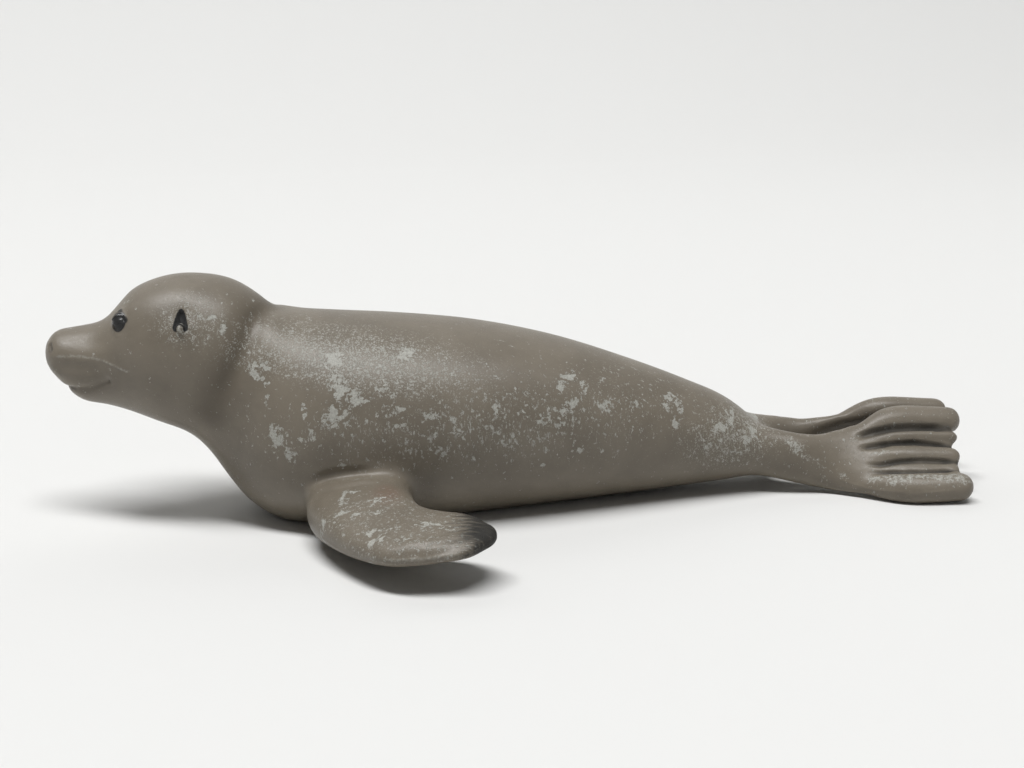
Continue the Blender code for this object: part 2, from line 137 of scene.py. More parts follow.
# Paths along the near side: places behind the nose, in mm. Both sides of the seal follow them.
neckPath = np.array(((34.4, 0.0, 32.0), (32.9, -3.9, 31.9), (31.4, -6.4, 30.9), (30.3, -8.8, 27.9),
                     (28.2, -10.3, 24.1), (27.0, -10.5, 21.5), (25.9, -10.0, 18.2)))
seamPath = ((0.7, -3.0, 26.4), (2.5, -4.3, 26.6), (5.2, -4.9, 26.7), (7.9, -5.5, 26.4),
            (9.1, -6.0, 26.1), (10.4, -6.8, 25.6), (12.7, -8.1, 24.7))
mouthPath = ((2.1, 0.0, 21.7), (3.1, -2.4, 21.4), (4.6, -3.9, 21.3), (6.8, -4.9, 21.7),
             (8.6, -5.6, 22.4), (9.7, -6.1, 22.9))
nostrilPath = ((1.2, -2.9, 28.0), (1.4, -3.4, 27.4))
lidPath = ((10.7, -5.5, 31.5), (10.75, -4.9, 32.1), (10.95, -4.3, 32.6), (11.3, -3.9, 33.0),
           (11.7, -4.3, 33.05), (12.1, -4.9, 32.85), (12.5, -5.7, 32.4), (12.9, -6.3, 31.9))
armSeamPath = ((39.5, -24.8, 4.2), (41.6, -29.3, 4.0), (43.9, -33.3, 4.0), (46.5, -37.4, 4.8),
               (50.0, -40.3, 5.3), (53.7, -41.1, 5.6), (57.8, -41.2, 5.9), (61.5, -39.5, 6.0),
               (63.2, -37.0, 6.3))
armRimPath = ((48.0, -39.4, 5.5), (53.2, -41.0, 6.0), (55.8, -41.1, 6.3), (58.5, -40.6, 6.6),
              (61.4, -38.9, 6.5))
groovePaths = (((122.9, -5.7, 8.2), (126.0, -5.8, 9.0), (129.0, -5.85, 9.45), (132.0, -5.9, 9.5),
                (135.0, -5.7, 9.2), (138.3, -5.9, 9.0)),
               ((123.0, -7.0, 6.9), (126.0, -7.4, 7.25), (129.0, -7.4, 7.4), (132.0, -7.6, 7.45),
                (135.0, -7.8, 7.0), (138.3, -8.4, 6.6)),
               ((123.3, -9.0, 4.9), (126.0, -10.0, 5.0), (129.0, -10.5, 5.45), (132.0, -11.1, 5.7),
                (135.0, -11.3, 5.5), (138.2, -11.3, 4.9)),
               ((123.5, -9.9, 3.6), (126.0, -11.0, 4.05), (129.0, -12.3, 4.4), (132.0, -12.8, 4.4),
                (135.0, -12.9, 4.35), (137.8, -12.8, 3.9)))
grooveWidths = (1.35, 0.95, 0.8, 0.6)  # mm, from the middle of the painted shade to its edge

# Sculpted lines: places, reach at each end and depth in mm, and the share of the line over which each
# end fades out. A ridge has a negative depth. The broad lines are made before the balls are set in.
broadLines = {
    "neckFold": (neckPath, 2.2, 2.2, 0.34, 0.25),
    "shoulderRise": (neckPath + (2.9, -0.3, 0.0), 3.0, 3.0, -0.3, 0.35),
    "earHollow": (((21.2, -8.3, 32.9), (21.1, -9.6, 31.4)), 0.7, 1.3, 0.55, 0.0),
    "armRidge": (((37.9, -16.6, 7.0), (38.7, -17.4, 8.0), (40.9, -18.4, 9.3), (42.9, -19.0, 9.7),
                  (44.7, -19.3, 9.9), (46.5, -19.4, 9.9), (48.1, -19.8, 9.8), (49.4, -20.6, 9.6)),
                 1.5, 1.5, -0.38, 0.2),
    "armValley": (((38.0, -15.2, 7.7), (39.3, -16.0, 8.9), (40.9, -16.4, 9.7), (42.9, -16.8, 10.1),
                   (44.7, -17.0, 10.2), (46.5, -17.1, 10.2), (49.0, -17.6, 10.0)), 1.3, 1.3, 0.6, 0.35),
    "armEdge": (((50.0, -38.6, 7.0), (53.3, -39.3, 7.1), (55.8, -39.2, 7.4), (58.5, -38.6, 7.6),
                 (61.4, -37.2, 7.5)), 1.1, 0.9, -0.25, 0.2),
    "armRim": (armRimPath, 1.2, 1.0, 0.28, 0.2),
    "muzzleShelf": (((1.5, -3.6, 26.9), (3.5, -4.5, 27.1), (6.0, -5.1, 27.1), (8.5, -5.7, 26.8),
                     (10.4, -6.6, 26.2)), 2.6, 2.2, -0.26, 0.2),
    "muzzleUnder": (((1.5, -3.6, 25.1), (3.5, -4.6, 25.1), (6.0, -5.2, 25.0), (8.5, -5.9, 24.6)),
                    1.5, 1.2, 0.2, 0.2),
}
fineLines = {
    "upperLid": (((10.95, -5.5, 32.0), (11.4, -5.95, 32.6), (12.0, -6.05, 32.8), (12.6, -6.0, 32.6),
                  (13.15, -6.3, 32.0)), 0.4, 0.4, -0.14, 0.0),
    "lidFold": (lidPath, 0.5, 0.5, 0.16, 0.0),
    "lowerLid": (((10.9, -5.5, 30.6), (11.6, -6.2, 29.7), (12.3, -6.6, 29.6), (13.3, -6.9, 30.3)),
                 0.5, 0.5, -0.12, 0.2),
    "earRim": (((21.8, -8.0, 33.4), (22.5, -9.2, 32.4), (22.5, -10.1, 30.8)), 0.6, 0.8, -0.2, 0.2),
    "mouthValley": (mouthPath, 0.9, 0.9, 0.14, 0.0),
    "mouthLine": (mouthPath, 0.45, 0.25, 0.34, 0.0),
    "nostril": (nostrilPath, 0.6, 0.5, 0.3, 0.0),
    "muzzleSeam": (seamPath, 0.3, 0.25, -0.1, 0.1),
    "armSeam": (armSeamPath, 0.3, 0.3, -0.1, 0.1),
    "firstGroove": (groovePaths[0], 0.8, 1.0, 0.55, 0.15),
    "secondGroove": (groovePaths[1], 0.7, 0.8, 0.5, 0.15),
    "thirdGroove": (groovePaths[2], 0.6, 0.7, 0.4, 0.2),
    "fourthGroove": (groovePaths[3], 0.5, 0.6, 0.3, 0.25),
    "fanSeam": (((117.0, -7.8, 5.0), (120.5, -9.3, 2.4), (123.8, -11.9, 1.7), (127.1, -14.8, 2.1),
                 (131.6, -16.3, 2.2), (137.7, -16.6, 2.6)), 0.3, 0.3, -0.08, 0.1),
}

# What is hollow between the digits of the hind flippers is pressed in further
digitGrooves = {
    "start": (117.0, 124.0),  # mm behind the nose, over which it begins
    "end": (135.0, 138.0),    # over which it weakens, so that the ends of the digits stay round
    "endShare": 0.3,
    "rounds": 6,
    "depth": 1.8,             # a share of the depth that is there
}

# The ends of the fore flippers reach a little further back
armStretch = {
    "length": 0.6,             # mm
    "along": (53.0, 62.0),     # mm behind the nose, over which it begins
    "outwards": (26.0, 31.0),  # mm from the middle
}


def sculpt(piece, lines):
    points = values(piece, "co") * 1000
    normals = values(piece, "normal")
    folded = toNearSide(points)
    for places, startReach, endReach, depth, fade in lines:
        away, share = alongPath(folded, behindNose(places))
        reach = startReach + (endReach - startReach) * share
        ends = rising(share, 0, fade) * rising(1 - share, 0, fade) if fade else 1
        points -= normals * (depth * ends * softSpot(away / reach))[:, None]
    moveTo(piece, points)


def makeSkin(node):
    piece = bpy.data.objects.new("sealSkin", node.data.copy())
    bpy.context.collection.objects.link(piece)
    piece.data.materials.clear()
    selectOnly(piece)
    bpy.ops.object.mode_set(mode="EDIT")
    bpy.ops.mesh.select_all(action="SELECT")
    bpy.ops.mesh.remove_doubles(threshold=skinLook["mergeDistance"] / 1000)
    bpy.ops.mesh.normals_make_consistent(inside=False)
    bpy.ops.object.mode_set(mode="OBJECT")
    applied(piece, "REMESH", mode="VOXEL", voxel_size=skinLook["firstGrain"] / 1000)
    return piece


def soften(piece, rounds, group=""):
    applied(piece, "SMOOTH", factor=skinLook["smoothing"], iterations=rounds, vertex_group=group)


def smooth(piece, rounds):
    soften(piece, rounds)
    applied(piece, "SMOOTH", factor=skinLook["swelling"], iterations=rounds)


def smoothBody(piece):  # the facets of the solid melt away, but not the digits and the face
    smooth(piece, skinLook["firstRounds"])
    points = toNearSide(values(piece, "co") * 1000)
    plain = 1 - rising(points[:, 0] - noseX, *skinLook["fanStart"])
    plain *= 1 - rising(-points[:, 1], *skinLook["armStart"])
    offFace = np.linalg.norm(points - behindNose(skinLook["faceCentre"]), axis=1)
    faceShare = skinLook["faceShare"]
    plain *= faceShare + (1 - faceShare) * rising(offFace, *skinLook["faceReach"])
    group = piece.vertex_groups.new(name="plain")
    for index, weight in enumerate(plain):
        group.add((index,), weight, "REPLACE")
    soften(piece, skinLook["bodyRounds"], "plain")
    piece.vertex_groups.clear()
    smooth(piece, skinLook["firstRounds"])


def hollows(piece, rounds):  # how far the skin lies below its own smoothed form, in mm
    before = values(piece, "co") * 1000
    normals = values(piece, "normal")
    softer = bpy.data.objects.new("softer", piece.data.copy())
    bpy.context.collection.objects.link(softer)
    soften(softer, rounds)
    after = values(softer, "co") * 1000
    bpy.data.objects.remove(softer)
    return np.einsum("ij,ij->i", after - before, normals)


def deepenDigits(piece):
    points = values(piece, "co") * 1000
    along = points[:, 0] - noseX
    fan = rising(along, *digitGrooves["start"])
    fan *= 1 - (1 - digitGrooves["endShare"]) * rising(along, *digitGrooves["end"])
    depth = digitGrooves["depth"] * fan * np.maximum(hollows(piece, digitGrooves["rounds"]), 0)
    moveTo(piece, points - values(piece, "normal") * depth[:, None])


def stretchArms(piece):
    points = values(piece, "co") * 1000
    along = points[:, 0] - noseX
    length = armStretch["length"] * rising(along, *armStretch["along"]) * (along < skinLook["armsEnd"])
    points[:, 0] += length * rising(np.abs(points[:, 1]), *armStretch["outwards"])
    moveTo(piece, points)


def addBalls(piece):
    for name, (centre, radii) in balls.items():
        for side in (1, -1):
            place = behindNose(centre) * (1, side, 1) / 1000
            bpy.ops.mesh.primitive_uv_sphere_add(segments=48, ring_count=24, radius=1,
                                                 location=place, scale=np.array(radii) / 1000)
            ball = bpy.context.object
            ball.name = name
            selectOnly(piece, ball)
            bpy.ops.object.join()


def finishSkin(piece):
    applied(piece, "REMESH", mode="VOXEL", voxel_size=skinLook["grain"] / 1000)
    smooth(piece, skinLook["lastRounds"])
    sculpt(piece, fineLines.values())
    soften(piece, 1)
    points = values(piece, "co") * 1000
    points[:, 2] = np.maximum(points[:, 2], 0)  # nothing lies below the ground
    moveTo(piece, points)
    applied(piece, "TRIANGULATE")
    share = skinLook["triangles"] / len(piece.data.polygons)
    if share < 1:
        applied(piece, "DECIMATE", ratio=share)
    piece.data.shade_smooth()
    print("skin:", len(piece.data.polygons), "triangles")


seal = makeSkin(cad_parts["seal_figurine"])
smoothBody(seal)
deepenDigits(seal)
stretchArms(seal)
sculpt(seal, broadLines.values())
addBalls(seal)
finishSkin(seal)
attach(seal, "root")
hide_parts("seal_figurine")

# Where the paint is chipped: (behind the nose, height, half length, half height) in mm, seen from
# the side
wornPatches = {
    "shoulder": ((34.0, 15.6, 1.5, 1.9), (43.3, 22.7, 1.6, 1.8), (42.6, 18.5, 2.2, 1.7),
                 (45.7, 21.1, 1.9, 1.4), (39.1, 16.1, 0.8, 0.8), (36.1, 13.0, 1.2, 1.1),
                 (37.5, 15.0, 0.7, 0.6), (31.0, 24.7, 1.0, 1.2), (32.7, 25.2, 1.2, 0.8),
                 (32.0, 23.6, 1.2, 0.6), (33.1, 22.9, 0.6, 0.4), (33.0, 20.7, 0.35, 1.3),
                 (38.3, 19.6, 0.35, 1.2), (42.8, 26.2, 1.9, 1.4), (53.1, 26.2, 1.6, 0.8),
                 (49.6, 21.9, 0.9, 0.8), (52.0, 19.4, 0.8, 0.9), (56.1, 18.1, 1.3, 0.6),
                 (58.0, 12.5, 1.5, 0.7), (59.9, 15.4, 1.2, 0.7), (56.4, 14.8, 0.7, 0.6),
                 (59.5, 17.0, 0.9, 0.9), (51.7, 17.1, 0.8, 0.4), (49.6, 15.5, 0.5, 0.6),
                 (43.1, 11.6, 0.6, 0.6)),
    "flank": ((75.8, 20.5, 0.7, 1.0), (77.0, 21.3, 0.9, 0.8), (78.2, 21.2, 0.8, 0.9),
              (79.5, 19.8, 0.6, 1.3), (77.6, 17.9, 1.2, 0.9), (76.1, 17.0, 1.1, 0.6),
              (82.9, 17.0, 1.4, 0.9), (87.3, 16.5, 0.9, 0.6), (92.4, 15.6, 0.8, 1.0),
              (93.4, 16.6, 1.0, 0.7), (94.8, 15.2, 0.7, 1.2), (93.7, 12.9, 0.6, 1.4),
              (66.0, 18.0, 1.0, 1.1), (72.6, 16.1, 0.5, 0.7), (64.6, 15.1, 0.3, 0.9),
              (68.1, 14.2, 0.6, 0.5), (67.0, 13.3, 0.7, 0.5), (72.6, 9.2, 0.5, 0.4),
              (75.7, 13.3, 0.6, 0.5), (78.4, 10.9, 0.7, 0.5), (82.0, 10.3, 0.5, 0.5),
              (84.3, 10.2, 0.3, 1.1)),
    "tail": ((101.0, 11.6, 1.4, 0.9), (103.2, 12.7, 1.1, 1.1), (105.5, 9.0, 0.8, 1.2),
             (106.8, 10.3, 0.7, 1.0)),
    "head": ((25.6, 32.3, 0.7, 0.5), (26.9, 30.8, 0.9, 0.8), (24.6, 29.4, 0.7, 0.4)),
}

# The same on the fore flippers, seen from above: (behind the nose, y, half length, half width)
armPatches = ((44.2, -22.0, 1.6, 0.9), (43.3, -23.6, 0.9, 0.7), (48.0, -26.3, 1.9, 0.9),
              (43.6, -25.3, 0.9, 0.7), (45.2, -28.6, 1.0, 0.8), (43.0, -27.2, 1.2, 0.6),
              (47.0, -34.2, 1.6, 1.0), (49.4, -35.0, 1.4, 0.8), (47.6, -36.6, 1.2, 0.8),
              (54.4, -34.8, 1.8, 0.9), (51.0, -37.6, 1.5, 0.8), (40.6, -26.4, 0.8, 0.7),
              (57.8, -36.6, 1.6, 0.7), (47.4, -29.6, 0.7, 0.5))

# Where the paint is rubbed through in a softer way: from and to (behind the nose, y, z), and reach
rubbedSpots = (((112.6, -6.9, 8.7), (113.9, -7.4, 7.4), 1.3),
               ((114.4, -7.7, 6.5), (120.7, -9.2, 3.2), 0.8),
               ((126.5, -13.4, 3.4), (137.6, -15.7, 3.9), 1.5),
               ((124.0, -11.4, 3.4), (129.5, -13.8, 3.6), 1.0),
               ((125.0, -8.6, 6.6), (135.5, -9.9, 6.5), 0.6),
               ((123.0, -6.0, 8.3), (130.0, -5.6, 9.8), 0.6),
               ((12.4, -3.2, 34.0), (13.1, -3.9, 34.3), 0.5))

# How the wear is spread. A zone is written as a patch is, seen from the side.
wearSpread = {
    "patchReach": 1.6,                   # a patch fades out at this many times its size
    "rubReach": 1.4,
    "farSideShift": 2.5,                 # mm; the far side is worn a little further back
    "armShiftShare": 0.6,                # of that shift, on the fore flippers
    "armPatchShare": 0.9,
    "bodyEnd": (17.5, 20.0),             # mm from the middle
    "armStart": (18.0, 20.0),            # mm from the middle
    "armTopOutwards": (20.0, 26.0),      # mm from the middle
    "armTopHeight": (3.0, 5.5),
    # a band along the lit top of the body, where the pale specks are partly wear and partly a painted
    # speckled highlight
    "band": (46.0, 32.96, 30.0, 6.3),    # with its height at the nose
    "bandSlope": 0.16,                   # it sinks by this share of the distance
    "crown": (22.5, 32.0, 9.0, 6.0),
    "side": (66.0, 16.0, 58.0, 12.0),
    "tail": (103.0, 10.0, 14.0, 8.0),
    "fanStart": (108.0, 114.0),
}

# The most of each kind of wear in each zone; the frost specks are partly painted highlight
wearShares = {
    "frostAndHighlight": {"band": 1.0, "crown": 0.7, "side": 0.3, "tail": 0.7, "armTops": 0.33},
    "flecked": {"band": 0.9, "crown": 0.65, "side": 1.0, "tail": 1.0, "armTops": 0.75, "fans": 0.45},
    "scratched": {"side": 0.55, "tail": 1.0, "arms": 0.25},
}

# Where the other paint lies: places behind the nose and distances in mm. A pair says where something
# begins to change and where it has changed.
paintPlaces = {
    "ear": ((21.2, 0, 33.6), (21.05, 0, 31.2)),
    "earTop": 0.12,                      # half its width there
    "earGrowth": 1.05,                   # how much wider it is at its foot
    "earCurve": 0.6,
    "earEdge": (0.75, 1.2),
    "earFoot": (30.2, 30.9),             # height
    "lobe": (21.05, 0, 30.95),
    "lobeRadii": (0.5, 1, 0.68),
    "headSide": 6.0,                     # from the middle
    "lidEdge": (0.25, 0.8),
    "lidShadow": (11.5, -5.0, 32.5),
    "lidShadowReach": 1.5,
    "lidShadowShare": 0.5,
    "neckShift": (-1.6, 0, 0),
    "neckReach": 4.0,
    "seamEdge": (0.08, 0.2),
    "seamStart": (0.05, 0.2),            # shares of the line
    "seamSide": 2.5,                     # from the middle
    "armSeamEdge": (0.12, 0.32),
    "armSeamStart": (0.3, 0.5),
    "grooveCore": 0.15,                  # the share of the width that is fully dark
    "grooveStart": (0, 0.3),
    "mouthEdge": (0.2, 0.7),
    "mouthTaper": 0.4,
    "nostrilEdge": (0.2, 0.9),
    "nostrilShare": 0.7,
    "tipAlong": (54.5, 63.0),
    "tipOutwards": (28, 31),
    # painted shade along the side wall of the fore flipper's rim
    "rimReach": 1.3,
    "rimShadeShare": 0.55,
    "rimStart": (0.3, 1.1),
    "rust": (49.6, -24.5, 9.3),
    "rustRadii": (3.2, 4.6, 3),
    "hollowRounds": 14,
    "hollowDepth": 0.1,
    "hollowShare": 0.3,                  # on the body, where the painted shade in hollows is paler than in the hind flippers
    "hollowStart": (110, 118),
    "ridgeHeight": 0.14,
}


def addNumbers(piece, name, numbers):
    attribute = piece.data.attributes.new(name, "FLOAT", "POINT")
    attribute.data.foreach_set("value", np.clip(numbers, 0, 1).astype(np.float32))


def patchAmount(first, second, patches, reach=wearSpread["patchReach"]):
    amount = np.zeros(len(first))
    for x, y, halfX, halfY in patches:
        ratio = np.hypot((first - x) / halfX, (second - y) / halfY) / reach
        amount = np.maximum(amount, softSpot(ratio))
    return amount


def zoneAmount(first, second, zone):
    x, y, halfX, halfY = zone
    return softSpot((first - x) / halfX) * softSpot((second - y) / halfY)


def distanceFrom(points, place, radii=1):
    return np.linalg.norm((points - behindNose(place)) / radii, axis=1)


def markWear(piece):
    points = values(piece, "co") * 1000
    along = points[:, 0] - noseX
    height = points[:, 2]
    depth = np.abs(points[:, 1])
    shift = np.where(points[:, 1] < 0, 0.0, wearSpread["farSideShift"])
    body = 1 - rising(depth, *wearSpread["bodyEnd"])
    arms = rising(depth, *wearSpread["armStart"]) * (along < skinLook["armsEnd"])
    armTops = arms * rising(depth, *wearSpread["armTopOutwards"])

    onArms = patchAmount(along - wearSpread["armShiftShare"] * shift, -depth, armPatches)
    worn = wearSpread["armPatchShare"] * arms * onArms
    for patches in wornPatches.values():
        worn = np.maximum(worn, body * patchAmount(along - shift, height, patches))
    addNumbers(piece, "worn", worn)

    zones = {
        "band": zoneAmount(along, height + wearSpread["bandSlope"] * along, wearSpread["band"]),
        "crown": patchAmount(along, height, (wearSpread["crown"],), 1),
        "side": body * zoneAmount(along, height, wearSpread["side"]),
        "tail": zoneAmount(along, height, wearSpread["tail"]),
        "arms": arms,
        "armTops": armTops * rising(height, *wearSpread["armTopHeight"]),
        "fans": rising(along, *wearSpread["fanStart"]),
    }
    for name, shares in wearShares.items():
        addNumbers(piece, name, np.max([share * zones[zone] for zone, share in shares.items()], axis=0))

    rubbed = np.zeros(len(points))
    for start, end, reach in rubbedSpots:
        away = distanceTo(toNearSide(points), (start, end))
        rubbed = np.maximum(rubbed, softSpot(away / (wearSpread["rubReach"] * reach)))
    addNumbers(piece, "rubbed", rubbed)


def markFace(piece):
    folded = toNearSide(values(piece, "co") * 1000)
    height = folded[:, 2]
    depth = -folded[:, 1]
    flat = folded * (1, 0, 1)  # the ear's paint and the muzzle's seam are laid on from the side

    ear, share = alongPath(flat, behindNose(paintPlaces["ear"]))
    width = paintPlaces["earTop"] + paintPlaces["earGrowth"] * share ** paintPlaces["earCurve"]
    lobe = distanceFrom(flat, paintPlaces["lobe"], paintPlaces["lobeRadii"])
    earPaint = 1 - rising(ear / width, *paintPlaces["earEdge"])
    earPaint *= rising(lobe, *paintPlaces["earEdge"]) * rising(height, *paintPlaces["earFoot"])
    addNumbers(piece, "earPaint", earPaint * (depth > paintPlaces["headSide"]))

    # The lid's black outline is paint; the soft dark spot over the lid is painted shade
    lid = 1 - rising(distanceTo(folded, lidPath), *paintPlaces["lidEdge"])
    shadow = softSpot(distanceFrom(folded, paintPlaces["lidShadow"]) / paintPlaces["lidShadowReach"])
    addNumbers(piece, "lidPaint", np.maximum(lid, paintPlaces["lidShadowShare"] * shadow))

    # Painted shade in the mouth line, under the overhanging upper lip, with a darker spot at the nostril
    mouth, share = alongPath(folded, behindNose(mouthPath))
    mouthShade = 1 - rising(mouth / (1 - paintPlaces["mouthTaper"] * share), *paintPlaces["mouthEdge"])
    nostril = rising(distanceTo(folded, nostrilPath), *paintPlaces["nostrilEdge"])
    addNumbers(piece, "mouthShade", np.maximum(mouthShade, paintPlaces["nostrilShare"] - nostril))

    away, share = alongPath(flat, behindNose(np.array(seamPath) * (1, 0, 1)))
    seam = 1 - rising(away, *paintPlaces["seamEdge"])
    seam *= rising(share, *paintPlaces["seamStart"]) * (depth > paintPlaces["seamSide"])
    away, share = alongPath(folded, behindNose(armSeamPath))
    armSeam = 1 - rising(away, *paintPlaces["armSeamEdge"])
    armSeam *= rising(share, *paintPlaces["armSeamStart"])
    addNumbers(piece, "seamPaint", np.maximum(seam, armSeam))


def markBody(piece):
    folded = toNearSide(values(piece, "co") * 1000)
    along = folded[:, 0] - noseX

    # Painted shade: the head side of the neck fold is darkened, where the fold lies in shade
    neck = distanceTo(folded, neckPath + paintPlaces["neckShift"])
    addNumbers(piece, "neckFoldShade", softSpot(neck / paintPlaces["neckReach"]))

    # Painted shade in the grooves between the digits of the hind flippers, widest under the top digit,
    # which overhangs
    grooves = np.zeros(len(folded))
    for path, width in zip(groovePaths, grooveWidths):
        away, share = alongPath(folded, behindNose(path))
        groove = 1 - rising(away, paintPlaces["grooveCore"] * width, width)
        grooves = np.maximum(grooves, groove * rising(share, *paintPlaces["grooveStart"]))
    addNumbers(piece, "grooveShade", grooves)

    # The fore flippers' dark tips are paint; along the rim below their top edge lies painted shade
    tip = rising(along, *paintPlaces["tipAlong"]) * rising(-folded[:, 1], *paintPlaces["tipOutwards"])
    away, share = alongPath(folded, behindNose(armRimPath))
    rim = paintPlaces["rimShadeShare"] * softSpot(away / paintPlaces["rimReach"])
    rim *= rising(share, *paintPlaces["rimStart"])
    addNumbers(piece, "tipPaintAndRimShade", np.maximum(tip * (along < skinLook["armsEnd"]), rim))
    rust = distanceFrom(folded, paintPlaces["rust"], paintPlaces["rustRadii"])
    addNumbers(piece, "rustPaint", softSpot(rust))

    # Painted shade in the hollows of the skin, in full in the hind flippers and at a share on the body;
    # the ridges are marked for rubbed paint
    depths = hollows(piece, paintPlaces["hollowRounds"])
    onBody = paintPlaces["hollowShare"]
    shares = onBody + (1 - onBody) * rising(along, *paintPlaces["hollowStart"])
    addNumbers(piece, "hollow", depths / paintPlaces["hollowDepth"] * shares)
    addNumbers(piece, "ridge", -depths / paintPlaces["ridgeHeight"])


markWear(seal)
markFace(seal)
markBody(seal)
print("wear and paint marked")


def addNode(tree, kind, inputs, **settings):
    made = tree.nodes.new("ShaderNode" + kind)
    for name, value in settings.items():
        setattr(made, name, value)
    for name, value in inputs.items():
        if isinstance(value, bpy.types.NodeSocket):
            tree.links.new(value, made.inputs[name])
        else:
            made.inputs[name].default_value = value
    return made


paintLook = {
    "paint": (0.163, 0.140, 0.108, 1),
    "paintDark": (0.132, 0.113, 0.087, 1),
    "paintLight": (0.190, 0.165, 0.129, 1),
    "evenness": 0.4,         # how much of the plain paint lies over the mottling
    "bare": (0.425, 0.422, 0.385, 1),
    "bareDark": (0.275, 0.270, 0.240, 1),
    "rust": (0.165, 0.108, 0.078, 1),
    # umber is the colour of the painted shade in the neck fold
    "umber": (0.070, 0.055, 0.036, 1),
    "neckShadeShare": 0.5,
    "black": (0.008, 0.008, 0.008, 1),
    # near black of the flipper tips; also the colour of the painted shade in hollows, grooves, the
    # flipper rim and the mouth line
    "tip": (0.011, 0.010, 0.008, 1),
    "grooveShadeShare": 0.8,
    "roughness": 0.39,
    "bareRoughness": 0.55,
    "eyeRoughness": 0.26,
    "roughnessNoise": 0.5,
    "dullness": 0.4,         # added to the roughness in the ears, the lids and the grooves
    "grooveDullness": 1.25,  # shares of that
    "tipDullness": 0.5,
    "shine": 0.4,
    "grainDepth": 0.02,      # mm
    "fineDepth": 0.024,      # mm
    "bareDepth": 0.02,       # mm, from the paint down to the vinyl
    "eyeCentre": (12.2, 5.2, 31.4),
    "eyeRadii": (1.45, 1.7, 1.6),
}

# Noises: stretch along x, y and z, where 1 is 1 mm, then scale, detail, roughness and distortion
noises = {
    "flakes": ((1, 1, 1), 1.15, 9, 0.68, 0.3),
    "small": ((1.7, 1.7, 1.1), 1.0, 7, 0.72, 0.2),
    "lines": ((3.2, 3.2, 0.45), 1.0, 4, 0.6, 0.1),
    "fine": ((1, 1, 1), 4.5, 4, 0.65, 0.0),
    "mottle": ((1, 1, 1), 0.13, 5, 0.65, 0.0),
    "streaks": ((0.25, 1.7, 1.0), 1.0, 5, 0.6, 0.0),
    "grain": ((1, 1, 1), 2.0, 4, 0.6, 0.0),
}

# How the marked wear comes out of a noise: the share of the mark that is added to it, the values
# between which the paint goes from whole to bare, and how bare it gets
wearSteps = {
    "chips": (0.23, 0.640, 0.665, 1.0),
    "flecks": (0.12, 0.665, 0.69, 1.0),
    "scratches": (0.12, 0.70, 0.73, 1.0),
    "frost": (0.14, 0.09, 0.18, 0.75),
    "rub": (0.24, 0.64, 0.78, 0.85),
    "edges": (1.0, 0.5, 1.3, 0.4),
}

# How much shows: the values between which something comes in, then its least and its most
paintSteps = {
    "scratched": (0.05, 0.4, 0.0, 0.7),
    "frostAndHighlight": (0.05, 0.5),
    "mottle": (0.3, 0.7),
    "bare": (0.35, 0.65),
    "rust": (0.35, 0.6, 0.2, 0.9),
    "seam": (0.4, 0.55, 0.1, 0.5),
    "hollow": (0.1, 1.0, 0.0, 0.7),
    "tip": (0.25, 0.95),
    "tipEdge": (0.0, 0.15),
    "mouth": (0.1, 1.0, 0.0, 0.75),
    "ear": (0.35, 0.75),
    "lid": (0.1, 0.9, 0.0, 0.93),
    "eye": (1.08, 0.96),
}

# How strongly a noise breaks up the edge of a mark
raggedness = {
    "frostFine": 0.8,
    "frostSmall": 0.6,
    "rub": 0.4,
    "edges": 2.0,
    "tip": 1.6,
    "ear": 0.6,
    "lid": 0.4,
}


def ramp(tree, value, low, high, lowest=0.0, highest=1.0):
    return addNode(tree, "MapRange", {"Value": value, "From Min": low, "From Max": high,
                                      "To Min": lowest, "To Max": highest},
                   interpolation_type="SMOOTHSTEP").outputs["Result"]


def maths(tree, operation, first, second=0.0):
    return addNode(tree, "Math", {0: first, 1: second}, operation=operation).outputs[0]


def added(tree, first, second):
    return maths(tree, "ADD", first, second)


def times(tree, first, second):
    return maths(tree, "MULTIPLY", first, second)


def most(tree, highest, *others):
    for other in others:
        highest = maths(tree, "MAXIMUM", highest, other)
    return highest


def mixed(tree, share, first, second):
    return addNode(tree, "MixRGB", {"Fac": share, "Color1": first, "Color2": second}).outputs["Color"]


def number(tree, name):
    return addNode(tree, "Attribute", {}, attribute_name=name).outputs["Fac"]


def stretched(tree, places, stretch):
    return addNode(tree, "Mapping", {"Vector": places, "Scale": stretch}).outputs["Vector"]


def noise(tree, places, stretch, scale, detail, roughness, distortion):
    return addNode(tree, "TexNoise", {"Vector": stretched(tree, places, stretch), "Scale": scale,
                                      "Detail": detail, "Roughness": roughness,
                                      "Distortion": distortion}).outputs["Fac"]


def around(tree, value, amount):  # turns a noise of about 0.5 into one of about 0
    return times(tree, maths(tree, "SUBTRACT", value, 0.5), amount)


def wear(tree, name, pattern, mark):
    share, low, high, highest = wearSteps[name]
    return ramp(tree, added(tree, pattern, times(tree, mark, share)), low, high, 0.0, highest)


def eyeMask(tree, places):
    parts = addNode(tree, "SeparateXYZ", {"Vector": places}).outputs
    folded = addNode(tree, "CombineXYZ", {"X": parts["X"], "Y": maths(tree, "ABSOLUTE", parts["Y"]),
                                          "Z": parts["Z"]}).outputs["Vector"]
    centre = behindNose(paintLook["eyeCentre"])
    offset = addNode(tree, "VectorMath", {0: folded, 1: centre}, operation="SUBTRACT")
    ratio = addNode(tree, "VectorMath", {0: offset.outputs["Vector"], 1: paintLook["eyeRadii"]},
                    operation="DIVIDE")
    length = addNode(tree, "VectorMath", {0: ratio.outputs["Vector"]}, operation="LENGTH")
    return ramp(tree, length.outputs["Value"], *paintSteps["eye"])


